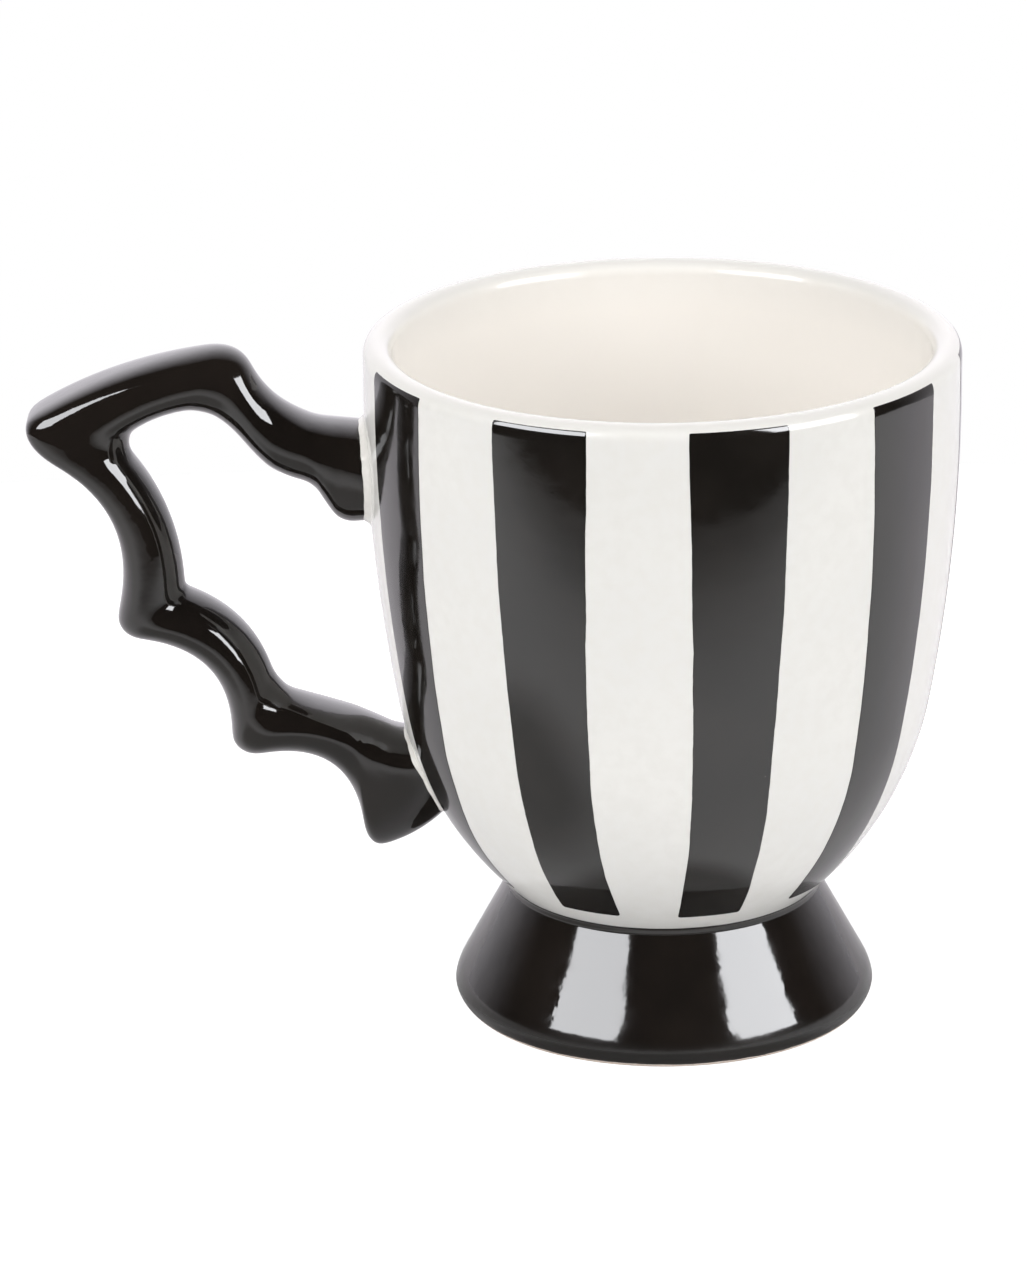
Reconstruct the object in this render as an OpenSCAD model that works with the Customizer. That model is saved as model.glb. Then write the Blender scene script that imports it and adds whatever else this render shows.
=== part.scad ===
// Coffee mug: a striped tulip bowl on a flared foot, with a bat-wing handle.
// Millimetres, +Z up. The origin is on the mug's axis where the foot stands, and the handle points to -X.

/* [Bowl] */
// Height from the table to the top of the rim
mug_h = 110.5; // [90:0.5:135]
// Widest outside diameter
bowl_d = 94; // [78:1:114]
// Distance of the widest place below the top of the rim
rim_drop = 8; // [6:0.5:14]
// Thickness of the side wall
wall = 4.6; // [3:0.1:5.5]
// Height of the rounded lip
lip_h = 3.2; // [1.5:0.1:4]
// Thickness of the floor
floor_t = 5; // [4:0.1:7]
// Radius of the hollow between the floor and the wall
floor_fillet = 14; // [8:1:18]
// Lean of the wall, from upright, where the tall curve turns into the belly
belly_angle = 10.3; // [9:0.1:12]
// Lean of the wall, from upright, where the bowl meets the foot
base_angle = 46; // [43:1:50]
// Outside diameter where the bowl meets the foot
base_d = 52.5; // [44:0.5:62]

/* [Foot] */
// Height of the circle where the bowl meets the foot
foot_h = 21.5; // [17:0.5:26]
// Widest diameter of the foot
foot_d = 67.5; // [60:0.5:82]
// Distance of the foot's top edge inside the circle where the bowl meets the foot
neck_inset = 1.25; // [0.75:0.05:2.5]
// Depth of the bowl's flat bottom below the circle where it meets the foot
seat_depth = 3.5; // [3:0.1:4.5]
// Radius of the edge that the foot stands on
foot_edge_r = 1.6; // [1:0.1:2.2]
// Radius of the shoulder above that edge
shoulder_r = 9; // [4:0.5:11]
// Width of the flat ring that stands on the table
ring_w = 4; // [3:0.1:5]
// Width of the ledge that carries the bowl
ledge_w = 3.5; // [2.5:0.1:5]

/* [Handle] */
// Distance of the wing's tip from the widest place of the bowl
handle_reach = 53.5; // [42:0.5:65]
// Distance of the wing's peak below the top of the rim
peak_drop = 0.5; // [0:0.5:12]
// Height of the lowest claw above the bowl's base circle
claw_rise = 4.5; // [3:0.5:14]
// Thickness of the handle from front to back
handle_depth = 12.5; // [9:0.5:16]
// Thickness from front to back where the handle joins the bowl
joint_depth = 15.5; // [10:0.5:20]

/* [Stripes] */
// Number of black bands
stripe_count = 9; // [5:1:11]
// Angle that one band covers
stripe_angle = 17.8; // [8:0.1:22]
// White angle that is left bare for the handle
bare_angle = 35; // [30:1:60]
// Thickness of the fired colour
stripe_t = 0.25; // [0.15:0.05:0.5]
// How far the bands climb the lip's round: 0 is its outer side, 90 its crest
stripe_lip_angle = 42; // [10:1:70]
// Height of the bands' lower ends above the bowl's base circle
stripe_rise = 2.2; // [2:0.1:20]

/* [Joints] */
// Gap between two clay pieces that luting slip fills
joint_gap = 0.4; // [0.3:0.05:0.8]
// Gap between the slip, or the fired colour, and the clay it lies on
slip_gap = 0.08; // [0.05:0.01:0.12]
// Width of the slip bead round the handle's ends
bead_w = 1.6; // [0.8:0.1:2.5]
// Width of the slip bead on the foot
neck_bead_w = 1.2; // [0.6:0.1:2]

/* [Hidden] */
clay_pieces = ["bowl", "foot", "handle", "foot_slip", "upper_handle_slip", "lower_handle_slip"];
$fn = 96;

white_glaze = "#f1efea";
black_glaze = "#1d1917";
pale_slip = "#e6e2da";
arc_steps = 12;

// The bowl's outside is a tall wall arc and a belly arc that touch at belly_angle.
// Both radii follow from the widest circle, the base circle and the two angles.
bowl_r = bowl_d / 2;
base_r = base_d / 2;
wide_z = mug_h - rim_drop;
narrowing = bowl_r - base_r;
descent = wide_z - foot_h;
wall_in = 1 - cos(belly_angle);
wall_down = sin(belly_angle);
belly_in = cos(belly_angle) - cos(base_angle);
belly_down = sin(base_angle) - sin(belly_angle);
balance = wall_in * belly_down - wall_down * belly_in;
wall_arc_r = (narrowing * belly_down - descent * belly_in) / balance;
belly_arc_r = (wall_in * descent - wall_down * narrowing) / balance;
wall_centre = [bowl_r - wall_arc_r, wide_z];
belly_centre = wall_centre + (wall_arc_r - belly_arc_r) * [cos(belly_angle), -sin(belly_angle)];
bottom_z = foot_h - seat_depth;
bottom_angle = asin((belly_centre[1] - bottom_z) / belly_arc_r);
lip_z = mug_h - lip_h;
lip_centre = bowl_r - wall / 2;

// Points of an arc, from angle a to angle b.
function arc(centre, r, a, b, steps = arc_steps) =
    [for (i = [0:steps]) let (t = a + (b - a) * i / steps) centre + r * [cos(t), sin(t)]];

// Outside radius of the bowl at a height, for a surface that lies "out" away from it.
function bowl_radius(z, out = 0) =
    z >= wide_z ? bowl_r + out :
    z >= wall_centre[1] - (wall_arc_r + out) * sin(belly_angle) ?
        wall_centre[0] + sqrt(pow(wall_arc_r + out, 2) - pow(z - wall_centre[1], 2)) :
        belly_centre[0] + sqrt(pow(belly_arc_r + out, 2) - pow(z - belly_centre[1], 2));

// Height on the belly at a radius, for a surface that lies "out" away from it.
function belly_height(r, out = 0) =
    belly_centre[1] - sqrt(pow(belly_arc_r + out, 2) - pow(r - belly_centre[0], 2));

// Outside profile of the bowl between two heights, for a surface that lies "out" away from it.
function bowl_side(z_low, z_high, out = 0, steps = 3 * arc_steps) =
    [for (i = [0:steps]) let (z = z_low + (z_high - z_low) * i / steps) [bowl_radius(z, out), z]];

// Outside of the lip, from its start up to an angle, for a surface that lies "out" away from it.
function lip_side(angle, out = 0) =
    [for (i = [0:arc_steps]) let (t = angle * i / arc_steps)
        [lip_centre + (wall / 2 + out) * cos(t), lip_z + (lip_h + out) * sin(t)]];

module bowl() {
    floor_z = bottom_z + floor_t;
    hollow_r = belly_arc_r - wall;
    fillet_angle = asin((belly_centre[1] - floor_fillet - floor_z) / (hollow_r - floor_fillet));
    fillet_centre = belly_centre + (hollow_r - floor_fillet) * [cos(fillet_angle), -sin(fillet_angle)];
    outside = concat(
        arc(belly_centre, belly_arc_r, -bottom_angle, -belly_angle),
        arc(wall_centre, wall_arc_r, -belly_angle, 0));
    inside = concat(
        arc(wall_centre, wall_arc_r - wall, 0, -belly_angle),
        arc(belly_centre, hollow_r, -belly_angle, -fillet_angle),
        arc(fillet_centre, floor_fillet, -fillet_angle, -90));
    color(white_glaze)
        rotate_extrude()
            polygon(concat([[0, bottom_z]], outside, lip_side(180), inside, [[0, floor_z]]));
}

// The foot's top edge, and the tangent from it to the shoulder.
neck_r = base_r - neck_inset;
neck_z = belly_height(neck_r, joint_gap);
shoulder_centre = [foot_d / 2 - shoulder_r, foot_edge_r];
neck_offset = [neck_r, neck_z] - shoulder_centre;
shoulder_angle = atan2(neck_offset[1], neck_offset[0]) - acos(shoulder_r / norm(neck_offset));
ledge_z = bottom_z - joint_gap;
ledge_r = bowl_radius(ledge_z, joint_gap);

module foot() {
    edge_centre = [foot_d / 2 - foot_edge_r, foot_edge_r];
    mouth_r = edge_centre[0] - ring_w;
    outside = concat(
        arc(edge_centre, foot_edge_r, -90, 0),
        arc(shoulder_centre, shoulder_r, 0, shoulder_angle));
    seat = [for (i = [0:arc_steps]) let (z = neck_z + (ledge_z - neck_z) * i / arc_steps)
        [bowl_radius(z, joint_gap), z]];
    inside = [[ledge_r - ledge_w, ledge_z], [mouth_r, foot_edge_r], [mouth_r, 0]];
    color(black_glaze)
        rotate_extrude()
            polygon(concat(outside, seat, inside));
}

// Luting slip in the seat, with a bead that fills the corner under the bowl.
module foot_slip() {
    cone = [sin(shoulder_angle), -cos(shoulder_angle)];
    cone_out = slip_gap * [cos(shoulder_angle), sin(shoulder_angle)];
    under = joint_gap - slip_gap;
    top_face = [for (i = [0:arc_steps]) let (z = bottom_z - slip_gap + (foot_h - bottom_z) * i / arc_steps)
        [bowl_radius(z, slip_gap), z]];
    low_face = [for (i = [0:arc_steps]) let (z = neck_z + (bottom_z - under - neck_z) * i / arc_steps)
        [bowl_radius(z, under), z]];
    neck_edge = [neck_r, neck_z] + cone_out;
    color(black_glaze)
        rotate_extrude()
            polygon(concat(
                [[ledge_r - ledge_w, bottom_z - slip_gap]],
                top_face,
                [neck_edge + neck_bead_w * cone, neck_edge],
                low_face,
                [[ledge_r - ledge_w, bottom_z - under]]));
}

// Fired bands. Band 1 is next to the handle on the front, and the numbers run round to the back.
stripe_pitch = (360 - bare_angle - stripe_angle) / max(1, stripe_count - 1);

module stripe(i) {
    low_z = foot_h + stripe_rise;
    inner = concat(bowl_side(low_z, lip_z, slip_gap), lip_side(stripe_lip_angle, slip_gap));
    face = slip_gap + stripe_t;
    outer = concat(bowl_side(low_z, lip_z, face), lip_side(stripe_lip_angle, face));
    color(black_glaze)
        rotate([0, 0, 180 + bare_angle / 2 + (i - 1) * stripe_pitch])
            rotate_extrude(angle = stripe_angle)
                polygon(concat(inner, reversed(outer)));
}

// The wing is drawn in its own box, in percent: X from the bowl's widest place to the tip,
// Z from the lowest claw to the peak. An undefined X lies on the bowl's wall.
// Each row has a corner of the outer edge and its partner on the inner edge, round the finger gap.
// The third value bends the line to the next corner, as a share of its length, away from the gap.
// The fourth is the length, in percent of the reach, that the rounding of the corner cuts from both lines.
// The last three values of a row shape the section: the place of its ridge, from -1 at the inner edge to 1 at
// the outer one, the fullness of its outer half, where 2 is an ellipse and more is squarer, and its depth,
// from 0 for handle_depth to 1 for joint_depth.
wing = [
    [[undef, 84.7, 0, 0], [undef, 65.5, -0.01, 0], 0.2, 2, 1],                // upper joint
    [[10.4, 85.4, -0.03, 5.7], [7.3, 65.1, -0.03, 3.5], 0.3, 2, 0.65],        // spur under the joint
    [[15.1, 85.9, -0.055, 5.8], [15.1, 73.2, -0.08, 3.6], 0.1, 2, 0.3],       // arm
    [[29.1, 91.6, -0.055, 5.2], [33.5, 79, 0.085, 7.9], 0, 2, 0],             // rise
    [[35.3, 100.5, 0.07, 9.5], [47.8, 87.7, 0.095, 4.9], 0, 2, -0.25],        // peak
    [[108.2, 83, -0.25, 13.3], [72.4, 81.5, -0.095, 6.4], -0.15, 3.2, 0.3],   // tip
    [[76.1, 43, -0.285, 4.3], [54.1, 52.2, -0.135, 1.2], 0.1, 2, 0.4],        // first claw
    [[42, 17.5, -0.33, 5.1], [27.4, 32.3, 0.02, 5.3], 0.05, 2, 0.35],         // second claw
    [[0.7, -0.8, 0.08, 3.4], [-1.5, 26.4, 0.085, 7.9], -0.4, 2, 0.6],         // lowest claw
    [[undef, 6.9, 0, 0], [undef, 23.2, 0, 0], -0.1, 2, 1]];                   // lower joint
outer_edge = 0;
inner_edge = 1;
ridge = 2;
fullness = 3;
thickening = 4;
wing_spans = len(wing) - 1;
// Places of the sections within one span, close together at the corners.
// None stands nearer to the bowl's wall than wall_place.
section_places = [0, 0.035, 0.08, 0.14, 0.24, 0.37, 0.5, 0.63, 0.76, 0.86, 0.92, 0.965];
wall_place = 0.12;
wing_sides = 32;
// Largest share of a line that a corner's rounding takes, and the pull that makes its curve nearly an arc.
most_cut = 0.48;
corner_pull = 0.55;
handle_low = foot_h + claw_rise;
handle_h = mug_h - peak_drop - handle_low;

function corner(side, k) =
    let (p = wing[k][side], z = handle_low + handle_h * p[1] / 100)
    [is_undef(p[0]) ? -bowl_radius(z, joint_gap) : -(bowl_r + handle_reach * p[0] / 100), z];

// Point and direction on the line from corner k to the next one.
function line_point(side, k, t) =
    let (a = corner(side, k), b = corner(side, k + 1), bend = 4 * wing[k][side][2] * t * (1 - t))
    a + t * (b - a) + bend * [b[1] - a[1], a[0] - b[0]];
function line_direction(side, k, t) =
    let (
        a = corner(side, k),
        b = corner(side, k + 1),
        turn = 4 * wing[k][side][2] * (1 - 2 * t),
        d = b - a + turn * [b[1] - a[1], a[0] - b[0]])
    d / norm(d);

function corner_cut(side, k) = handle_reach * wing[k][side][3] / 100;
function cut_share(side, k, line) =
    min(most_cut, corner_cut(side, k) / norm(corner(side, line + 1) - corner(side, line)));

function cubic(a, b, c, d, w) =
    pow(1 - w, 3) * a + 3 * w * pow(1 - w, 2) * b + 3 * w * w * (1 - w) * c + pow(w, 3) * d;

// Point of an edge with rounded corners. The whole part of u is the line, and the rest the place on it.
function wing_edge(side, u) =
    let (
        k = max(1, min(wing_spans - 1, round(u))),
        before = cut_share(side, k, k - 1),
        after = cut_share(side, k, k),
        w = (u - k + before) / (before + after),
        line = min(wing_spans - 1, floor(u)),
        pull = corner_pull * corner_cut(side, k),
        a = line_point(side, k - 1, 1 - before),
        b = line_point(side, k, after))
    w <= 0 || w >= 1 ? line_point(side, line, u - line) : cubic(
        a,
        a + pull * line_direction(side, k - 1, 1 - before),
        b - pull * line_direction(side, k, after),
        b,
        w);

// A section value, which moves smoothly from one row of the wing to the next.
function row_value(u, column) =
    let (line = min(wing_spans - 1, floor(u)), t = u - line)
    wing[line][column] + (wing[line + 1][column] - wing[line][column]) * t * t * (3 - 2 * t);

function bent(x, power) = sign(x) * pow(abs(x), power);

// One section of the handle, "grow" larger all round and then scaled towards its middle.
function wing_section(u, grow = 0, scale = 1) =
    let (
        outer = wing_edge(outer_edge, u),
        inner = wing_edge(inner_edge, u),
        middle = (outer + inner) / 2,
        half = (outer - inner) / 2,
        across = half * (1 + grow / norm(half)) * scale,
        full_depth = handle_depth + (joint_depth - handle_depth) * row_value(u, thickening),
        depth = (full_depth / 2 + grow) * scale)
    [for (j = [0:wing_sides - 1])
        let (
            t = 360 * j / wing_sides,
            power = cos(t) > 0 ? 2 / row_value(u, fullness) : 1,
            place = bent(cos(t), power),
            p = middle + across * (place + row_value(u, ridge) * (1 - abs(place))))
        [p[0], depth * bent(sin(t), power), p[1]]];

// A section pressed onto the bowl's wall, at a distance from it.
function on_wall(section, distance) =
    [for (p = section) [-sqrt(pow(bowl_radius(p[2], distance), 2) - p[1] * p[1]), p[1], p[2]]];

function reversed(list) = [for (i = [len(list) - 1:-1:0]) list[i]];
function mean(points) = [for (i = [0:len(points) - 1]) 1] * points / len(points);

// Skin over a row of rings with equal counts, closed by a fan at each end.
module skin(rings) {
    n = len(rings[0]);
    last = (len(rings) - 1) * n;
    points = concat([for (ring = rings) each ring], [mean(rings[0]), mean(rings[len(rings) - 1])]);
    sides = [for (r = [0:n:last - n], j = [0:n - 1]) let (k = (j + 1) % n)
        each [[r + j, r + n + j, r + n + k], [r + j, r + n + k, r + k]]];
    first_cap = [for (j = [0:n - 1]) [len(points) - 2, j, (j + 1) % n]];
    last_cap = [for (j = [0:n - 1]) [len(points) - 1, last + (j + 1) % n, last + j]];
    polyhedron(points, concat(sides, first_cap, last_cap));
}

// The end faces are closed by smaller rings that follow the bowl's wall.
cap_scales = [0.35, 0.7];
// The bead's fullest ring, as shares of its width: how far out it lies and how high.
bead_out = 0.75;
bead_high = 0.5;
// How far the bead climbs the handle, in spans of the wing.
bead_climb = 0.18;

module handle() {
    start = [for (s = cap_scales) on_wall(wing_section(0, 0, s), joint_gap)];
    run = [for (k = [0:wing_spans - 1], s = section_places)
        if (min(k + s, wing_spans - k - s) >= wall_place) wing_section(k + s)];
    end = [for (s = cap_scales) on_wall(wing_section(wing_spans, 0, s), joint_gap)];
    first = on_wall(wing_section(0), joint_gap);
    last = on_wall(wing_section(wing_spans), joint_gap);
    color(black_glaze)
        skin(concat(start, [first], run, [last], reversed(end)));
}

// Slip under one end of the handle, as rings from the wall to a bead that climbs onto the handle.
function slip_rings(end_u, climb_u) =
    let (under = joint_gap - slip_gap)
    concat(
        [for (s = cap_scales) on_wall(wing_section(end_u, 0, s), slip_gap)],
        [
            on_wall(wing_section(end_u, bead_w), slip_gap),
            on_wall(wing_section(end_u, bead_out * bead_w), bead_high * bead_w),
            wing_section(climb_u, slip_gap),
            on_wall(wing_section(end_u, slip_gap), under)
        ],
        reversed([for (s = cap_scales) on_wall(wing_section(end_u, 0, s), under)]));

module upper_handle_slip() {
    color(pale_slip)
        skin(slip_rings(0, bead_climb));
}

module lower_handle_slip() {
    color(pale_slip)
        skin(reversed(slip_rings(wing_spans, wing_spans - bead_climb)));
}

bowl();
foot();
handle();
foot_slip();
upper_handle_slip();
lower_handle_slip();
for (i = [1:stripe_count]) stripe(i);
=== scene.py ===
"""Coffee mug with a striped tulip bowl, a flared foot and a bat-wing handle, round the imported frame."""
import math

import bpy
import numpy as np
from mathutils import Matrix, Vector


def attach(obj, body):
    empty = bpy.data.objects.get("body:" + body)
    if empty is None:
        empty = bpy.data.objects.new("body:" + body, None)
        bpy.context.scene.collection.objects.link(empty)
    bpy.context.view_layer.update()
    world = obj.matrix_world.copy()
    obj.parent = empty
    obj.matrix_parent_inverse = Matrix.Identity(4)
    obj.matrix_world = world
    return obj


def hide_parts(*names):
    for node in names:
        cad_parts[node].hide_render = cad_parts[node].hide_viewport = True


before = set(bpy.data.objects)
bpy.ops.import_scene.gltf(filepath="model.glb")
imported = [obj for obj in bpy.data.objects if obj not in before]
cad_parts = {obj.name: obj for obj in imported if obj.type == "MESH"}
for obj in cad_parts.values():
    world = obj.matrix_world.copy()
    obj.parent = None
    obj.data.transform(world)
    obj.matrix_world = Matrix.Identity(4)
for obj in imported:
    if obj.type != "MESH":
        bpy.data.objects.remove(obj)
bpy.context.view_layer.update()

MM = 0.001
TAU = 2 * math.pi

# Sizes in millimetres. They are the CAD model's, apart from a rounder lip and stripes that end lower on it.
MUG_H, BOWL_R, RIM_DROP, WALL, LIP_H = 110.5, 47.0, 8.0, 4.6, 2.4
FLOOR_T, FLOOR_FILLET, SEAT_DEPTH = 5.0, 14.0, 3.5
BELLY_ANGLE, BASE_ANGLE, BASE_R = math.radians(10.3), math.radians(46.0), 26.25
FOOT_H, FOOT_R, NECK_INSET = 21.5, 33.75, 1.25
FOOT_EDGE_R, SHOULDER_R, RING_W, LEDGE_W = 1.6, 9.0, 4.0, 3.5
HANDLE_REACH, PEAK_DROP, CLAW_RISE = 53.5, 0.5, 4.5
HANDLE_DEPTH, JOINT_DEPTH = 12.5, 15.5
STRIPE_COUNT, STRIPE_ANGLE, BARE_ANGLE = 9, math.radians(17.8), math.radians(35.0)
STRIPE_LIP_ANGLE, STRIPE_RISE = math.radians(34.0), 2.2
JOINT_GAP = 0.4

# Heights and a radius that follow from these sizes.
WIDE_Z = MUG_H - RIM_DROP
LIP_Z = MUG_H - LIP_H
LIP_R = BOWL_R - WALL / 2
BOTTOM_Z = FOOT_H - SEAT_DEPTH
FLOOR_Z = BOTTOM_Z + FLOOR_T

# Points round a body of revolution.
SEGMENTS = 256


# Lines and surfaces


def bowl_arcs():
    """Radii and centres of the outside's wall arc and belly arc, which touch at BELLY_ANGLE."""
    narrowing, descent = BOWL_R - BASE_R, WIDE_Z - FOOT_H
    cos_b, sin_b = math.cos(BELLY_ANGLE), math.sin(BELLY_ANGLE)
    turns = np.array([[1 - cos_b, cos_b - math.cos(BASE_ANGLE)], [sin_b, math.sin(BASE_ANGLE) - sin_b]])
    wall_r, belly_r = np.linalg.solve(turns, [narrowing, descent])
    wall_c = np.array([BOWL_R - wall_r, WIDE_Z])
    return wall_r, wall_c, belly_r, wall_c + (wall_r - belly_r) * np.array([cos_b, -sin_b])


WALL_ARC_R, WALL_C, BELLY_ARC_R, BELLY_C = bowl_arcs()


def arc(centre, rx, a, b, count, rz=None):
    """Points of an arc from angle a to angle b, in radians. With rz it is part of an ellipse."""
    t = np.linspace(a, b, count)
    return np.stack([centre[0] + rx * np.cos(t), centre[1] + (rz or rx) * np.sin(t)], 1)


def bowl_radius(z, out=0.0):
    """Outside radius of the bowl at a height, for a surface that lies "out" away from it."""
    z = np.asarray(z, float)
    wall = WALL_C[0] + np.sqrt(np.maximum(0, (WALL_ARC_R + out) ** 2 - (z - WALL_C[1]) ** 2))
    belly = BELLY_C[0] + np.sqrt(np.maximum(0, (BELLY_ARC_R + out) ** 2 - (z - BELLY_C[1]) ** 2))
    turn = WALL_C[1] - (WALL_ARC_R + out) * math.sin(BELLY_ANGLE)
    return np.where(z >= WIDE_Z, BOWL_R + out, np.where(z >= turn, wall, belly))


# Unevenness of the cast pieces. Each wave has its height, its number round the mug, its phase, and its turn
# for each millimetre of height.
BOWL_SWAY = [(0.07, 2, 0.7, 0), (0.045, 3, 1.9, 1 / 40)]
BOWL_RIPPLE = [(0.02, 7, -0.4, 1 / 17), (0.012, 11, 0, 1 / 9)]
RIM_LIFT = [(0.1, 2, 2.1, 0), (0.06, 3, -0.8, 0)]
FOOT_SWAY = [(0.06, 2, 2.2, 0), (0.035, 3, 0.5, 0), (0.02, 8, 0, 1 / 5)]
# Distance below the neck over which the foot's unevenness sets in.
NECK_FADE = 6.0


def waves(rows, z, theta):
    """Sum of some waves at heights and angles."""
    return sum(high * np.sin(count * theta + phase + turn * z) for high, count, phase, turn in rows)


def bowl_warp(r, z, theta):
    """Slow unevenness of the bowl, which grows towards its rim."""
    high = np.clip((z - FOOT_H) / (MUG_H - FOOT_H), 0, 1)
    sway, ripple, lift = (waves(rows, z, theta) for rows in (BOWL_SWAY, BOWL_RIPPLE, RIM_LIFT))
    return r + high * sway + ripple, z + high ** 4 * lift


def foot_warp(r, z, theta):
    """Slow unevenness of the foot, which fades out towards its neck."""
    return r + waves(FOOT_SWAY, z, theta) * np.clip((FOOT_H - z) / NECK_FADE, 0, 1), z + 0 * theta


def lengths(points):
    """Length of a line up to each of its points."""
    return np.concatenate([[0], np.cumsum(np.linalg.norm(np.diff(points, axis=0), axis=1))])


def ease(points, size, hold=2.0):
    """A line with its corners rounded over a length. It holds its shape near both ends."""
    length = lengths(points)
    near = np.exp(-0.5 * ((length[:, None] - length[None, :]) / size) ** 2) * np.gradient(length)[None, :]
    eased = near @ points / near.sum(1)[:, None]
    keep = np.clip(np.minimum(length, length[-1] - length) / hold, 0, 1)[:, None]
    keep = keep * keep * (3 - 2 * keep)
    return keep * eased + (1 - keep) * points


# Meshes


def quads(number):
    """Faces between the neighbours in a grid of point numbers."""
    corners = [number[:-1, :-1], number[:-1, 1:], number[1:, 1:], number[1:, :-1]]
    return np.stack(corners, 2).reshape(-1, 4).tolist()


def closed(number, axis):
    """A grid of point numbers that comes back to its start along an axis."""
    return np.concatenate([number, np.take(number, [0], axis)], axis)


def fan(centre, ring):
    """Triangles from a point to a closed ring of points."""
    return [(centre, int(a), int(b)) for a, b in zip(ring, np.roll(ring, -1))]


def mesh_object(name, points, faces, material, smooth=True):
    """A mesh object from points in millimetres."""
    mesh = bpy.data.meshes.new(name)
    mesh.from_pydata((np.asarray(points) * MM).tolist(), [], faces)
    mesh.validate()
    mesh.polygons.foreach_set("use_smooth", [smooth] * len(mesh.polygons))
    mesh.materials.append(material)
    obj = bpy.data.objects.new(name, mesh)
    bpy.context.scene.collection.objects.link(obj)
    return obj


def place(obj, slot, *nodes):
    """Puts a finished piece on the body and hides the CAD parts of the nodes that it stands for."""
    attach(obj, "root")
    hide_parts(*nodes)


def revolve(name, profile, material, shape):
    """A closed body of revolution. A profile that starts and ends on the axis gets a pole at each end."""
    profile = np.asarray(profile, float)
    poles = profile[0][0] < 1e-6
    rows = profile[1:-1] if poles else profile
    theta = np.arange(SEGMENTS) * TAU / SEGMENTS
    r, z = shape(rows[:, :1] + 0 * theta, rows[:, 1:] + 0 * theta, theta[None, :])
    points = np.stack([r * np.cos(theta), r * np.sin(theta), z], 2).reshape(-1, 3)
    number = np.arange(len(points)).reshape(len(rows), SEGMENTS)
    faces = quads(closed(number if poles else closed(number, 0), 1))
    if poles:
        faces += fan(len(points), number[0][::-1]) + fan(len(points) + 1, number[-1])
        points = np.vstack([points, [0, 0, profile[0][1]], [0, 0, profile[-1][1]]])
    return mesh_object(name, points, faces, material)


def double_sheet(name, top, under, material):
    """A closed shell from two grids of points, with a wall between their borders."""
    rows, columns = top.shape[:2]
    number = np.arange(rows * columns).reshape(rows, columns)
    low = number + rows * columns
    border = np.concatenate([number[0, :-1], number[:-1, -1], number[-1, :0:-1], number[:0:-1, 0]])
    wall = closed(np.stack([border + rows * columns, border]), 1)
    points = np.vstack([top.reshape(-1, 3), under.reshape(-1, 3)])
    return mesh_object(name, points, quads(number) + quads(low.T) + quads(wall), material)


# Materials


class Nodes:
    """Short calls for the nodes of a material or a world."""

    def __init__(self, tree):
        self.tree = tree

    def put(self, value, socket):
        """Links a socket, or sets a plain value or an RGB colour."""
        if isinstance(value, bpy.types.NodeSocket):
            self.tree.links.new(value, socket)
        else:
            color = socket.type == "RGBA"
            socket.default_value = (*value, 1) if color else value

    def add(self, kind, inputs=(), **settings):
        """A new node with its inputs and settings."""
        node = self.tree.nodes.new(kind)
        for key, value in settings.items():
            setattr(node, key, value)
        for key, value in dict(inputs).items():
            self.put(value, node.inputs[key])
        return node

    def span(self, value, low, high, to_low=0.0, to_high=1.0):
        """A smooth step from one value to another while the input runs from low to high."""
        node = self.add("ShaderNodeMapRange", {"Value": value, "From Min": low, "From Max": high,
                                               "To Min": to_low, "To Max": to_high},
                        interpolation_type="SMOOTHSTEP")
        return node.outputs["Result"]

    def math(self, operation, *values):
        """The result of an operation on one, two or three values."""
        return self.add("ShaderNodeMath", dict(enumerate(values)), operation=operation).outputs[0]

    def mix(self, share, a, b):
        """A colour between two colours."""
        node = self.add("ShaderNodeMix", data_type="RGBA")
        inputs = {socket.identifier: socket for socket in node.inputs}
        for name, value in (("Factor_Float", share), ("A_Color", a), ("B_Color", b)):
            self.put(value, inputs[name])
        return next(socket for socket in node.outputs if socket.identifier == "Result_Color")


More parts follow.
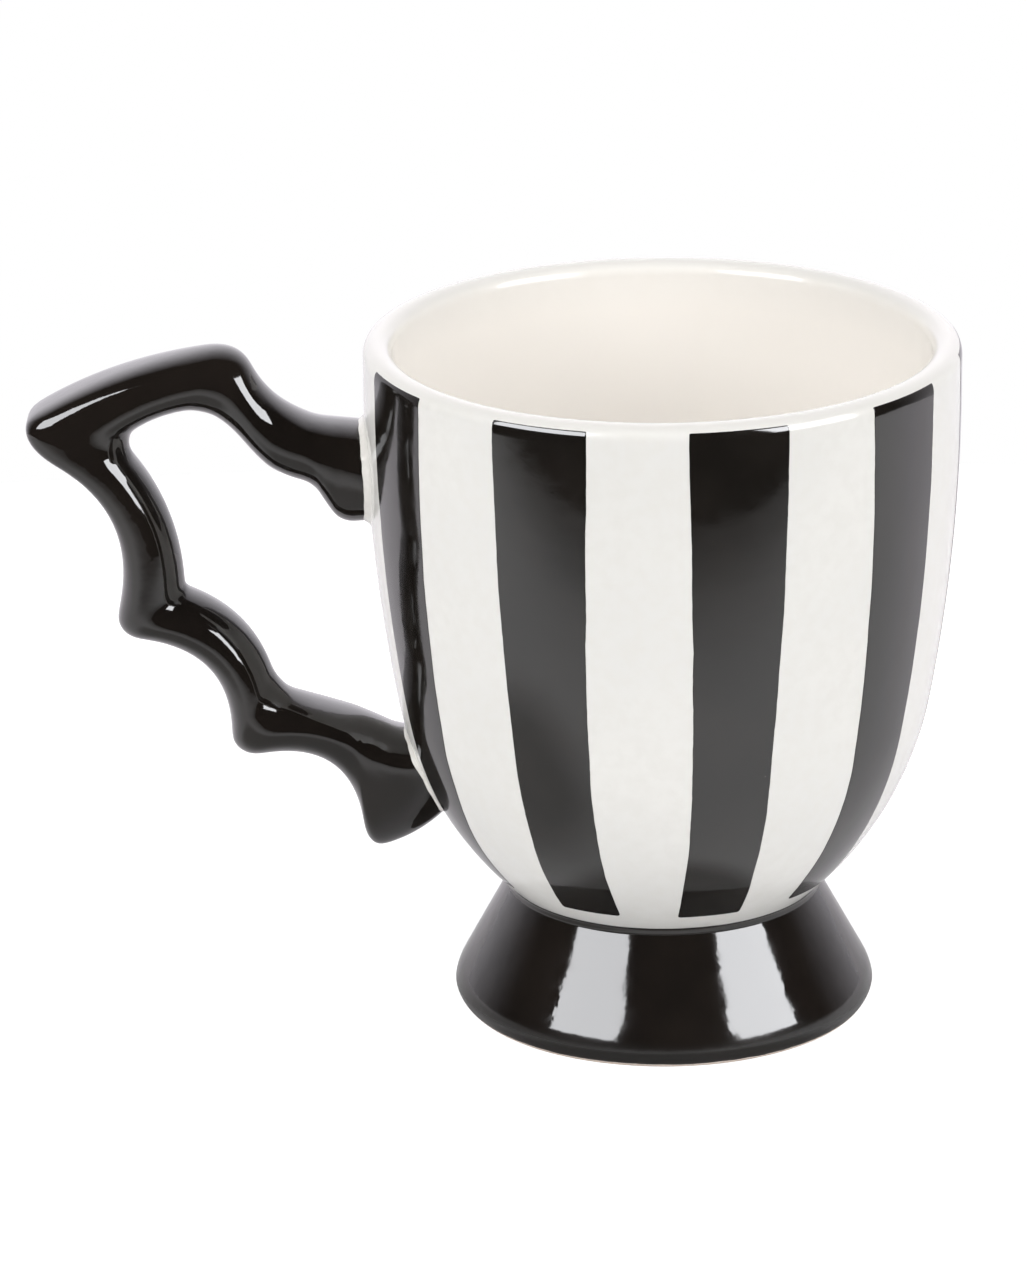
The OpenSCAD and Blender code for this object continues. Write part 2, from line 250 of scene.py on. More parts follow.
class Glaze(Nodes):
    """A glossy ceramic material, with its patterns and heights in millimetres."""

    def __init__(self, name, ior):
        self.material = bpy.data.materials.new(name)
        self.material.use_nodes = True
        super().__init__(self.material.node_tree)
        self.shader = self.tree.nodes["Principled BSDF"]
        self.shader.inputs["IOR"].default_value = ior
        self.where = self.add("ShaderNodeTexCoord").outputs["Object"]

    def height(self):
        """Height above the table, in metres."""
        return self.add("ShaderNodeSeparateXYZ", {0: self.where}).outputs["Z"]

    def by_height(self, low, high, to_low=0.0, to_high=1.0):
        """A smooth step from one value to another between two heights."""
        return self.span(self.height(), low * MM, high * MM, to_low, to_high)

    def noise(self, size, detail=2.0):
        """Noise whose lumps are about "size" across, from 0 to 1."""
        inputs = {"Vector": self.where, "Scale": 1 / (size * MM), "Detail": detail}
        return self.add("ShaderNodeTexNoise", inputs).outputs["Fac"]

    def patches(self, size, low=0.3, high=0.7, to_low=0.0, to_high=1.0, detail=2.0):
        """A value that changes from one to another in patches, where noise runs from low to high."""
        return self.span(self.noise(size, detail), low, high, to_low, to_high)

    def specks(self, spacing, radius, share):
        """Sparse round dots: 1 in a dot and 0 elsewhere. Only a share of the places has a dot."""
        cells = self.add("ShaderNodeTexVoronoi", {"Vector": self.where, "Scale": 1 / (spacing * MM)})
        edge = radius / spacing
        dot = self.span(cells.outputs["Distance"], 0.5 * edge, edge, 1.0, 0.0)
        pick = self.add("ShaderNodeSeparateColor", {"Color": cells.outputs["Color"]}).outputs["Red"]
        return self.math("MULTIPLY", dot, self.math("LESS_THAN", pick, share))

    def bump(self, height, depth, **normal):
        """Relief whose full height is "depth"."""
        inputs = {"Height": height, "Distance": depth * MM, **normal}
        return self.add("ShaderNodeBump", inputs).outputs["Normal"]

    def finish(self, color, roughness, normal):
        """The finished material."""
        for name, value in (("Base Color", color), ("Roughness", roughness), ("Normal", normal)):
            self.put(value, self.shader.inputs[name])
        return self.material


# Colours of the glazes, of their specks and of bare clay, with painted light that makes the bowl's inside
# brighter and warmer and painted shade that darkens its lip.
WHITE, WARM_WHITE, GREY_WHITE = (0.793, 0.784, 0.760), (0.815, 0.803, 0.772), (0.787, 0.774, 0.742)
INSIDE_PAINTED_LIGHT, LIP_PAINTED_SHADE, WHITE_SPECK = (0.905, 0.875, 0.835), (0.68, 0.668, 0.645), (0.30, 0.26, 0.22)
BLACK, SOFT_BLACK, BLACK_SPECK = (0.0085, 0.0068, 0.0058), (0.0125, 0.0098, 0.0082), (0.45, 0.42, 0.40)
FIRED, SOFT_FIRED, FIRED_SPECK = (0.0095, 0.0080, 0.0068), (0.0135, 0.0112, 0.0095), (0.30, 0.28, 0.26)
CLAY, PALE_CLAY = (0.72, 0.60, 0.52), (0.80, 0.71, 0.64)
SLIP, PALE_SLIP = (0.76, 0.74, 0.70), (0.81, 0.79, 0.75)
# Heights between which a look changes: painted shade that darkens the lip, softer gloss on the foot, its dull
# lower edge.
LIP_SHADE_HEIGHTS, FOOT_LOOK, DULL_LOOK = (LIP_Z + 0.9, MUG_H), (17.5, 22.5), (1.0, 6.5)
# Least height of the bare clay at the foot's edge, and how much it varies.
BARE_H, BARE_WAVER = 0.35, 0.4
# Roughness of the foot's lower edge and of bare clay.
DULL_ROUGH, BARE_ROUGH = 0.36, 0.85


def white_glaze():
    glaze = Glaze("white_glaze", ior=1.38)
    cloud = glaze.mix(glaze.patches(28, 0.35, 0.65), WHITE, WARM_WHITE)
    mottle = glaze.mix(glaze.patches(2.2, 0.3, 0.75, detail=3), cloud, GREY_WHITE)
    # Painted light: the bowl's inside, marked by this attribute, is brighter and warmer.
    inside = glaze.add("ShaderNodeAttribute", attribute_name="inside").outputs["Fac"]
    # Painted shade: the lip's colour darkens towards its top.
    shaded_lip = glaze.mix(glaze.by_height(*LIP_SHADE_HEIGHTS), glaze.mix(inside, mottle, INSIDE_PAINTED_LIGHT), LIP_PAINTED_SHADE)
    color = glaze.mix(glaze.specks(spacing=11, radius=0.16, share=0.3), shaded_lip, WHITE_SPECK)
    peel = glaze.bump(glaze.noise(0.9, 1), 0.0012, Normal=glaze.bump(glaze.noise(9), 0.05))
    return glaze.finish(color, glaze.patches(5, to_low=0.08, to_high=0.13), peel)


def black_glaze():
    glaze = Glaze("black_glaze", ior=1.6)
    cloud = glaze.mix(glaze.patches(14, 0.35, 0.7), BLACK, SOFT_BLACK)
    speckled = glaze.mix(glaze.specks(spacing=8, radius=0.13, share=0.35), cloud, BLACK_SPECK)
    bare_top = glaze.math("MULTIPLY_ADD", glaze.noise(3), BARE_WAVER * MM, BARE_H * MM)
    bare = glaze.math("LESS_THAN", glaze.height(), bare_top)
    clay = glaze.mix(glaze.patches(0.5, detail=3), CLAY, PALE_CLAY)
    peel = glaze.bump(glaze.noise(1.6, 1), 0.003, Normal=glaze.bump(glaze.noise(6, 3), 0.085))
    gloss = glaze.patches(4, to_low=0.035, to_high=0.08)
    scuffs = glaze.patches(6, 0.35, 0.65, 0.04, 0.10, detail=3)
    foot = glaze.math("MULTIPLY", glaze.by_height(*FOOT_LOOK, 1.0, 0.0), scuffs)
    dull = glaze.math("MAXIMUM", foot, glaze.by_height(*DULL_LOOK, DULL_ROUGH, 0.0))
    rough = glaze.math("MAXIMUM", gloss, dull)
    rough = glaze.math("MAXIMUM", rough, glaze.math("MULTIPLY", bare, BARE_ROUGH))
    return glaze.finish(glaze.mix(bare, speckled, clay), rough, peel)


def fired_black():
    glaze = Glaze("fired_black", ior=1.7)
    cloud = glaze.mix(glaze.patches(12, 0.35, 0.7), FIRED, SOFT_FIRED)
    color = glaze.mix(glaze.specks(spacing=7, radius=0.10, share=0.25), cloud, FIRED_SPECK)
    grain = glaze.bump(glaze.noise(0.55, 2), 0.0022, Normal=glaze.bump(glaze.noise(9), 0.05))
    return glaze.finish(color, glaze.patches(3, to_low=0.06, to_high=0.11), grain)


def white_slip():
    glaze = Glaze("white_slip", ior=1.5)
    color = glaze.mix(glaze.patches(1.4, detail=3), SLIP, PALE_SLIP)
    gloss = glaze.patches(1.5, to_low=0.08, to_high=0.2)
    return glaze.finish(color, gloss, glaze.bump(glaze.noise(1.3, 2), 0.04))


# Bowl and foot


# Step between the points on the flat of the bowl's underside and floor.
FLAT_STEP = 8.0
# Painted light of the inside, a brighter and warmer colour: where it sets in and over what length, as shares
# of the wall, and how far below the rim it is full.
INSIDE_START, INSIDE_RUN, INSIDE_FADE = 0.45, 0.5, 4.0


def bowl_profile():
    """Outline of the bowl from the axis below it, over the lip, to the axis inside it."""
    hollow_r = BELLY_ARC_R - WALL
    bottom_angle = math.asin((BELLY_C[1] - BOTTOM_Z) / BELLY_ARC_R)
    fillet_angle = math.asin((BELLY_C[1] - FLOOR_FILLET - FLOOR_Z) / (hollow_r - FLOOR_FILLET))
    towards_fillet = np.array([math.cos(fillet_angle), -math.sin(fillet_angle)])
    fillet_c = BELLY_C + (hollow_r - FLOOR_FILLET) * towards_fillet
    return np.vstack([
        [[step * FLAT_STEP, BOTTOM_Z] for step in (0, 1, 2)],
        arc(BELLY_C, BELLY_ARC_R, -bottom_angle, -BELLY_ANGLE, 48),
        arc(WALL_C, WALL_ARC_R, -BELLY_ANGLE, 0, 40)[1:],
        arc((LIP_R, LIP_Z), WALL / 2, 0, math.pi, 40, LIP_H),
        arc(WALL_C, WALL_ARC_R - WALL, 0, -BELLY_ANGLE, 40),
        arc(BELLY_C, hollow_r, -BELLY_ANGLE, -fillet_angle, 30)[1:],
        arc(fillet_c, FLOOR_FILLET, -fillet_angle, -math.pi / 2, 16)[1:],
        [[FLAT_STEP, FLOOR_Z], [0, FLOOR_Z]]])


def make_bowl(material):
    bowl = revolve("bowl_shell", bowl_profile(), material, bowl_warp)
    points = np.array([v.co for v in bowl.data.vertices]) / MM
    # Where the inside's painted light lies: deep in the wall, above the floor and fading out below the rim.
    depth = bowl_radius(points[:, 2]) - np.hypot(points[:, 0], points[:, 1])
    inside = np.clip((depth - INSIDE_START * WALL) / (INSIDE_RUN * WALL), 0, 1)
    inside *= points[:, 2] > (BOTTOM_Z + FLOOR_Z) / 2
    inside *= np.clip((MUG_H - points[:, 2]) / INSIDE_FADE, 0, 1)
    bowl.data.attributes.new("inside", "FLOAT", "POINT").data.foreach_set("value", inside)
    place(bowl, "white_glaze", "bowl")


# The foot's lower edge: the height of the shoulder's centre, the shoulder's last slant, and how far the edge
# draws in below it, evenly and in a curve.
SHOULDER_LOW, SHOULDER_START, EDGE_SLOPE, EDGE_CURVE = 1.2, math.radians(8.0), 0.7, 0.7
# Rounding of the foot's outline, thickness of its ledge and bevel of its standing ring.
FOOT_EASE, LEDGE_T, RING_BEVEL = 0.35, 0.6, 0.3


def foot_lines():
    """The neck, the shoulder's centre and the angle at which the cone touches the shoulder."""
    neck_r = BASE_R - NECK_INSET
    neck_drop = math.sqrt((BELLY_ARC_R + JOINT_GAP) ** 2 - (neck_r - BELLY_C[0]) ** 2)
    neck = np.array([neck_r, BELLY_C[1] - neck_drop])
    centre = np.array([FOOT_R - SHOULDER_R * math.cos(SHOULDER_START), SHOULDER_LOW])
    off = neck - centre
    angle = math.atan2(off[1], off[0]) - math.acos(SHOULDER_R / np.linalg.norm(off))
    return neck, centre, angle


def foot_outside():
    """Outline of the foot from its lower edge over the shoulder to the neck."""
    neck, centre, angle = foot_lines()
    touch = centre + SHOULDER_R * np.array([math.cos(angle), math.sin(angle)])
    shoulder = arc(centre, SHOULDER_R, SHOULDER_START, angle, 24)
    low = np.linspace(1, 0, 16)[:-1]
    edge_r = shoulder[0][0] - EDGE_SLOPE * low - EDGE_CURVE * low ** 3
    edge = np.stack([edge_r, shoulder[0][1] * (1 - low)], 1)
    return ease(np.vstack([edge, shoulder, np.linspace(touch, neck, 40)[1:]]), FOOT_EASE)


def make_foot(material):
    neck = foot_lines()[0]
    mouth_r = FOOT_R - FOOT_EDGE_R - RING_W
    ledge_z = BOTTOM_Z - JOINT_GAP
    seat_z = np.linspace(neck[1], ledge_z, 8)
    seat = np.stack([bowl_radius(seat_z, JOINT_GAP), seat_z], 1)
    inner = seat[-1][0] - LEDGE_W
    profile = np.vstack([
        foot_outside(),
        seat[1:],
        [[inner, ledge_z]],
        np.linspace([inner, ledge_z - LEDGE_T], [mouth_r, FOOT_EDGE_R], 10),
        [[mouth_r, RING_BEVEL], [mouth_r + RING_BEVEL, 0], [mouth_r + RING_W / 2, 0]]])
    place(revolve("foot_cone", profile, material, foot_warp), "black_glaze", "foot")


# The ring of slip above the foot: where it starts and ends on the bowl, above the neck, and how far it
# reaches down the cone. It stays clear of the bowl and the foot.
COVE_RISE, COVE_REACH = (0.3, 0.85), 0.5
OFF_BOWL, OFF_FOOT, OFF_NECK = 0.03, 0.02, 0.05
# Middle of its hollow, from the neck: up the cone, outwards and upwards.
HOLLOW_BACK, HOLLOW_OUT, HOLLOW_UP = 0.1, 0.1, 0.3


def make_cove(material):
    """Ring of glazed slip in the corner between the foot and the bowl."""
    neck, _, angle = foot_lines()
    cone = np.array([math.sin(angle), -math.cos(angle)])
    out = np.array([math.cos(angle), math.sin(angle)])
    high_z = neck[1] + np.linspace(*COVE_RISE, 6)
    on_bowl = np.stack([bowl_radius(high_z, OFF_BOWL), high_z], 1)
    foot_end = neck + COVE_REACH * cone + OFF_FOOT * out
    hollow = neck - HOLLOW_BACK * cone + [HOLLOW_OUT, HOLLOW_UP]
    t = np.linspace(0, 1, 10)[:, None]
    curve = (1 - t) ** 2 * on_bowl[-1] + 2 * t * (1 - t) * hollow + t ** 2 * foot_end
    profile = np.vstack([neck + OFF_NECK * out, on_bowl[:-1], curve])
    place(revolve("foot_cove", profile[::-1], material, foot_warp), "black_glaze", "foot_slip")


# Stripes


# The stripes are fired bands that lie on the bowl as thin closed shells. They thin out towards their edges,
# over STRIPE_EDGE, to a share of their thickness.
STRIPE_T, STRIPE_LIFT, STRIPE_EDGE, EDGE_SHARE = 0.03, 0.012, 0.15, 0.3
STRIPE_PITCH = (TAU - BARE_ANGLE - STRIPE_ANGLE) / (STRIPE_COUNT - 1)
# Width of the bands, as a share of STRIPE_ANGLE, by height.
STRIPE_WIDTHS = [(23, 1.13), (28, 1.08), (33, 1.01), (40, 0.97), (49, 0.945), (58, 0.96), (67, 0.98),
                 (75, 1.0), (83, 1.02), (90, 1.03), (98, 1.06), (106, 1.08), (111, 1.08)]
# Turn of the lower end of the band beside the handle, and the heights between which it sets in.
LEAN, LEAN_HEIGHTS = math.radians(-3.7), (26.0, 46.0)
# Least and greatest radius of a band's lower corners, and the upper corners' share of it.
CORNER_RADII, UPPER_CORNERS = (0.4, 1.0), 0.45
# Unevenness of a band's edges: length of the waves and their usual height.
EDGE_WAVES = [(6.0, 0.05), (1.2, 0.02)]
STRIPE_SEED = 100
# Points of a band: distances of the first ones from an edge, where the even ones start, and their numbers.
EDGE_ROWS, EVEN_START = np.array([0, 0.06, 0.14, 0.26, 0.45, 0.8]), 1.4
EVEN_ALONG, EVEN_ACROSS = 90, 12


def outside_line():
    """The bowl's outside from the stripes' lower ends to the rim, with its normals."""
    z = np.linspace(FOOT_H + STRIPE_RISE, LIP_Z, 400)
    line = np.vstack([np.stack([bowl_radius(z), z], 1),
                      arc((LIP_R, LIP_Z), WALL / 2, 0, STRIPE_LIP_ANGLE, 40, LIP_H)[1:]])
    along = np.gradient(line, axis=0)
    along /= np.linalg.norm(along, axis=1)[:, None]
    return line, np.stack([along[:, 1], -along[:, 0]], 1)


def edge_steps(length, middle):
    """Distances along a length that are close together at both ends."""
    even = np.linspace(EVEN_START, length - EVEN_START, middle)
    return np.concatenate([EDGE_ROWS, even, length - EDGE_ROWS[::-1]])


def slow_noise(rng, x, size, amount):
    """Smooth noise along a line."""
    knots = np.arange(x.min() - 2 * size, x.max() + 3 * size, size)
    return np.interp(x, knots, rng.normal(0, amount, len(knots)))


def stripe_inset(rng, along, radii):
    """How far one edge of a band lies inside its plain line: unevenness and a rounded corner at each end."""
    inset = sum(slow_noise(rng, along, size, amount) for size, amount in EDGE_WAVES)
    for end, radius in zip((along, along[-1] - along), radii):
        inset += radius - np.sqrt(radius ** 2 - np.clip(radius - end, 0, None) ** 2)
    return inset


def stripe_start(index, z, share):
    """Angle of a band's first edge at each height."""
    start = math.pi + BARE_ANGLE / 2 + (index - 1) * STRIPE_PITCH + STRIPE_ANGLE * (1 - share) / 2
    if index == 1:
        start = start + LEAN * (1 + np.cos(math.pi * np.interp(z, LEAN_HEIGHTS, (0, 1)))) / 2
    return start


def edge_fullness(border):
    """Share of a band's thickness at a distance from its border."""
    rounded = np.sqrt(1 - (1 - np.clip(border / STRIPE_EDGE, 0, 1)) ** 2)
    return EDGE_SHARE + (1 - EDGE_SHARE) * rounded


def make_stripe(index, material):
    rng = np.random.default_rng(STRIPE_SEED + index)
    line, normals = outside_line()
    length = lengths(line)
    along = edge_steps(length[-1], EVEN_ALONG)
    r, z, out_r, out_z = (np.interp(along, length, column) for column in (*line.T, *normals.T))
    radii = rng.uniform(*CORNER_RADII, (2, 2)) * [[1.0], [UPPER_CORNERS]]
    inset = [stripe_inset(rng, along, radii[:, side]) for side in (0, 1)]
    share = np.interp(z, *zip(*STRIPE_WIDTHS))
    width = STRIPE_ANGLE * share * r - inset[0] - inset[1]
    across = np.array([edge_steps(w, EVEN_ACROSS) for w in width])
    theta = (stripe_start(index, z, share) + inset[0] / r)[:, None] + across / r[:, None]
    to_end = np.minimum(along, along[-1] - along)[:, None]
    full = edge_fullness(np.minimum(np.minimum(across, width[:, None] - across), to_end))
    base_r, base_z = bowl_warp(r[:, None] + 0 * theta, z[:, None] + 0 * theta, theta)

    def sheet(thickness):
        out = STRIPE_LIFT + thickness * full
        sheet_r = base_r + out_r[:, None] * out
        return np.stack([sheet_r * np.cos(theta), sheet_r * np.sin(theta), base_z + out_z[:, None] * out], 2)

    band = double_sheet(f"stripe_band_{index}", sheet(STRIPE_T), sheet(0.0), material)
    place(band, "fired_black", f"stripe_{index}")


# Handle


# Each row has a corner of the wing's outer edge and its partner on the inner edge: X and Z in percent of the
# wing's reach and height, the bend of the line to the next corner as a share of its length, and the length,
# in percent of the reach, that the rounding of the corner cuts from both lines. The last three values shape
# the section: the place of its ridge, from -1 at the inner edge to 1 at the outer one, the fullness of its
# outer half, where 2 is an ellipse and more is squarer, and its depth, from 0 for HANDLE_DEPTH to 1 for
# JOINT_DEPTH. The tip, the two lower claws and the lower joint differ a little from the CAD model's.
WING = [
    ((None, 84.7, 0, 0), (None, 65.5, -0.01, 0), 0.2, 2, 1),                     # upper joint
    ((10.4, 85.4, -0.03, 5.7), (7.3, 65.1, -0.03, 3.5), 0.3, 2, 0.65),           # spur under the joint
    ((15.1, 85.9, -0.055, 5.8), (15.1, 73.2, -0.08, 3.6), 0.1, 2, 0.3),          # arm
    ((29.1, 91.6, -0.055, 5.2), (33.5, 79.0, 0.085, 7.9), 0.0, 2, 0),            # rise
    ((35.3, 100.5, 0.07, 9.5), (47.8, 87.7, 0.095, 4.9), 0.0, 2, -0.25),         # peak
    ((108.2, 83.0, -0.25, 13.3), (72.4, 81.5, -0.095, 6.4), -0.15, 4.2, 0.3),    # tip
    ((76.1, 43.0, -0.285, 4.3), (54.1, 52.2, -0.135, 1.2), 0.1, 2, 0.4),         # first claw
    ((42.0, 17.5, -0.345, 5.1), (27.4, 32.3, 0.02, 5.3), 0.05, 2, 0.35),         # second claw
    ((1.7, -1.0, 0.08, 4.3), (-1.5, 26.4, 0.085, 7.9), -0.5, 2, 0.6),            # lowest claw
    ((None, 6.9, 0, 0), (None, 23.2, 0, 0), -0.4, 2, 1)]                         # lower joint
# Columns of the section's values.
RIDGE, FULLNESS, THICKENING = 2, 3, 4
SPANS = len(WING) - 1
HANDLE_LOW = FOOT_H + CLAW_RISE
HANDLE_H = MUG_H - PEAK_DROP - HANDLE_LOW
# Greatest share of a line that a rounding takes, how far the rounding's curve is pulled to the corner, and
# the part of the first and the last line over which the ends bend to the bowl's wall.
MOST_CUT, CORNER_PULL, WALL_BLEND = 0.48, 0.55, 0.7
# Further rounding of the edges, and the length at both ends that it fades out over.
OUTER_EASE, INNER_EASE, EASE_HOLD = 1.0, 0.5, 3.0
# Sections of the handle on each line, and points round a section.
SPAN_STEPS, SIDES = 36, 64


def corner(side, k):
    """Corner k of the outer edge, side 0, or of the inner edge, side 1."""
    x, z = WING[k][side][:2]
    z = HANDLE_LOW + HANDLE_H * z / 100
    wall_x = float(bowl_radius(z, JOINT_GAP))
    return np.array([-wall_x if x is None else -(BOWL_R + HANDLE_REACH * x / 100), z])


def corner_cut(side, k):
    """Length that the rounding of corner k cuts from both lines."""
    return HANDLE_REACH * WING[k][side][3] / 100


def cut_share(side, k, line):
    """Share of a line that the rounding of corner k takes."""
    return min(MOST_CUT, corner_cut(side, k) / np.linalg.norm(corner(side, line + 1) - corner(side, line)))


def line_at(side, k, t):
    """Point and direction on the line from corner k to the next one."""
    a, b = corner(side, k), corner(side, k + 1)
    across, bend = np.array([b[1] - a[1], a[0] - b[0]]), 4 * WING[k][side][2]
    ahead = b - a + bend * (1 - 2 * t) * across
    return a + t * (b - a) + bend * t * (1 - t) * across, ahead / np.linalg.norm(ahead)


def wing_point(side, u):
    """Point of an edge with rounded corners. The whole part of u is the line, the rest the place on it."""
    k = min(SPANS - 1, max(1, round(u)))
    before, after = cut_share(side, k, k - 1), cut_share(side, k, k)
    w = (u - k + before) / (before + after)
    if w <= 0 or w >= 1:
        line = min(SPANS - 1, int(u))
        return line_at(side, line, u - line)[0]
    a, a_ahead = line_at(side, k - 1, 1 - before)
    b, b_ahead = line_at(side, k, after)
    pull = CORNER_PULL * corner_cut(side, k)
    curve = (1 - w) ** 3 * a + 3 * w * (1 - w) ** 2 * (a + pull * a_ahead)
    return curve + 3 * w * w * (1 - w) * (b - pull * b_ahead) + w ** 3 * b


def row_value(u, column):
    """A value of the wing's rows, which moves smoothly from one row to the next."""
    line = np.minimum(u.astype(int), SPANS - 1)
    t = u - line
    value = np.array([row[column] for row in WING])
    return (value[line] + (value[line + 1] - value[line]) * t * t * (3 - 2 * t))[:, None]


def section(u):
    """Shares of each section's half length and half depth, one row for each section."""
    t = np.arange(SIDES)[None, :] * TAU / SIDES
    power = np.where(np.cos(t) > 0, 2 / row_value(u, FULLNESS), 1)
    across = np.sign(np.cos(t)) * np.abs(np.cos(t)) ** power
    front = np.sign(np.sin(t)) * np.abs(np.sin(t)) ** power
    return across + row_value(u, RIDGE) * (1 - np.abs(across)), front


def on_wall(ring):
    """How far each point of a ring has to move in X to lie on the bowl's wall."""
    return -np.sqrt(bowl_radius(ring[:, 2], JOINT_GAP) ** 2 - ring[:, 1] ** 2) - ring[:, 0]


def handle_rings():
    """Rings of points along the handle, from the upper joint to the lower one."""
    step = (1 - np.cos(np.arange(SPAN_STEPS) * math.pi / SPAN_STEPS)) / 2
    u = np.append((np.arange(SPANS)[:, None] + step[None, :]).ravel(), SPANS)
    outer, inner = (ease(np.array([wing_point(side, v) for v in u]), size, EASE_HOLD)
                    for side, size in enumerate((OUTER_EASE, INNER_EASE)))
    depth = HANDLE_DEPTH + (JOINT_DEPTH - HANDLE_DEPTH) * row_value(u, THICKENING)
    across, front = section(u)
    flat = ((outer + inner)[:, None, :] + across[:, :, None] * (outer - inner)[:, None, :]) / 2
    rings = np.stack([flat[..., 0], depth / 2 * front, flat[..., 1]], 2)
    shifts = on_wall(rings[0]), on_wall(rings[-1])
    for from_end, shift in zip((u, SPANS - u), shifts):
        rings[..., 0] += np.clip(1 - from_end / WALL_BLEND, 0, 1)[:, None] ** 2 * shift
    return rings


def make_handle(rings, material):
    points = np.vstack([rings.reshape(-1, 3), rings[0].mean(0), rings[-1].mean(0)])
    number = np.arange(len(points) - 2).reshape(rings.shape[:2])
    ends = fan(len(points) - 2, number[0][::-1]) + fan(len(points) - 1, number[-1])
    handle = mesh_object("wing_handle", points, quads(closed(number, 1)) + ends, material)
    place(handle, "black_glaze", "handle")


# Slip at the handle's ends: the piece, its node, the seed of its lumps, its width and its height.
UPPER_SLIP = ("upper_fillet", "upper_handle_slip", 7, 1.5, 1.15)
LOWER_SLIP = ("lower_fillet", "lower_handle_slip", 8, 1.1, 0.75)
# Outline of the slip: shares of its width, away from the handle, and of its height above the wall.
FILLET = [(1.0, -0.06), (0.8, 0.03), (0.6, 0.13), (0.4, 0.3), (0.22, 0.54), (0.08, 0.82), (-0.05, 1.0),
          (-0.35, 0.95), (-0.45, 0.3), (-0.45, -0.06)]
# Usual height of the lumps, as a share of the slip's height, and how many of them go round it.
LUMP, LUMP_COUNTS = 0.06, (2, 3, 5, 8, 11, 17)
# Half of the height over which the wall's slope is measured.
SLOPE_STEP = 0.05


def wall_normal(points):
    """The bowl's outward direction at points near its wall."""
    z = points[:, 2]
    slope = (bowl_radius(z + SLOPE_STEP) - bowl_radius(z - SLOPE_STEP)) / (2 * SLOPE_STEP)
    normal = np.column_stack([points[:, :2] / np.hypot(points[:, 0], points[:, 1])[:, None], -slope])
    return normal / np.linalg.norm(normal, axis=1)[:, None]


def make_fillet(ring, material, name, node, seed, width, height):
    """White slip that fills the corner between the bowl's wall and one end of the handle."""
    rng = np.random.default_rng(seed)
    angle = np.arange(len(ring)) * TAU / len(ring)
    normal = wall_normal(ring)
    side = np.cross(np.roll(ring, -1, 0) - np.roll(ring, 1, 0), normal)
    side /= np.linalg.norm(side, axis=1)[:, None]
    side *= np.sign((side * (ring - ring.mean(0))).sum(1))[:, None]
    lumps = 1 + sum(rng.normal(0, LUMP) * np.sin(k * angle + rng.uniform(0, TAU)) for k in LUMP_COUNTS)
    rows = [ring + side * a * width + normal * (b * height * lumps - JOINT_GAP)[:, None] for a, b in FILLET]
    number = np.arange(len(rows) * len(ring)).reshape(len(rows), len(ring))
    fillet = mesh_object(name, np.vstack(rows), quads(closed(closed(number, 0), 1)), material)
    place(fillet, "white_slip", node)


def make_mug():
    white, black, fired, slip = white_glaze(), black_glaze(), fired_black(), white_slip()
    make_bowl(white)
    make_foot(black)
    make_cove(black)
    for index in range(1, STRIPE_COUNT + 1):
        make_stripe(index, fired)
    rings = handle_rings()
    make_handle(rings, black)
    make_fillet(rings[0], slip, *UPPER_SLIP)
    make_fillet(rings[-1][::-1], slip, *LOWER_SLIP)


# Studio, in metres


COOL, VIOLET = (0.965, 0.975, 1.0), (0.97, 0.94, 1.0)
# Lights, which all face a point above the table from one distance. Each has its name, azimuth, elevation,
# width, height and radiance. Those for gloss also have their colour and their spread in degrees.
LIGHT_AIM, LIGHT_AWAY = Vector((0, 0, 0.05)), 0.9
KEYS = [("left_key", -47.5, 31, 0.66, 0.56, 3.7), ("right_key", 58, 27, 0.64, 0.58, 3.5)]
CARDS = [("left_card", -47.5, 27.5, 0.58, 0.44, 10.8, COOL, 180),
         ("right_card", 57.3, 24, 0.57, 0.48, 12.8, COOL, 180),
         ("back_card", 180, 40, 2.1, 2.1, 0.5, VIOLET, 104)]
# The room: its colours in the gloss and as soft fill, and the directions over which they change.
DARK_ROOM, WHITE_SWEEP = (0.012, 0.011, 0.010), (0.97, 0.94, 1.0)
LOW_FILL, HIGH_FILL, BACK_FILL = (0.22, 0.22, 0.22), (0.80, 0.79, 0.775), (0.75, 0.74, 0.73)
BEHIND_Y, FILL_Z = (0.05, 0.85), (-0.1, 1.0)
# The sheet: its half axes in millimetres, the points of its edge, its colours, and the places along Y between
# which they change in reflections: painted shade towards its front edge and painted violet light towards its
# back. The camera sees it glow, and sees the mug's shadow in what it reflects.
SHEET_X, SHEET_Y, SHEET_POINTS = 500, 275, 128
PAPER, FAR_PAINTED_SHADE = (0.86, 0.865, 0.88), (0.2, 0.2, 0.2)
FAR_Y, PAINTED_VIOLET_Y = (-0.27, -0.1), (-0.06, 0.1)
GLOW, SHADOW_PAPER = 0.85, (0.4, 0.4, 0.4)
# Painted shadows of the sheet in reflections, under the handle and before the foot: centre, reach and colour.
SHADES = [((-0.08, -0.045, 0.0), (0.03, 0.07), (0.42, 0.42, 0.42)),
          ((0.0, -0.02, 0.0), (0.022, 0.032), (0.33, 0.33, 0.33))]
# The photograph's camera, found from its outlines: focal length and sensor in millimetres, angles in degrees.
LENS, SENSOR, LOOK_DOWN, ROLL = 189.37, 36.0, 19.525, -0.581
CAMERA_AT, CAMERA_CLIP = (-0.02386, -1.01179, 0.41905), (0.05, 20)


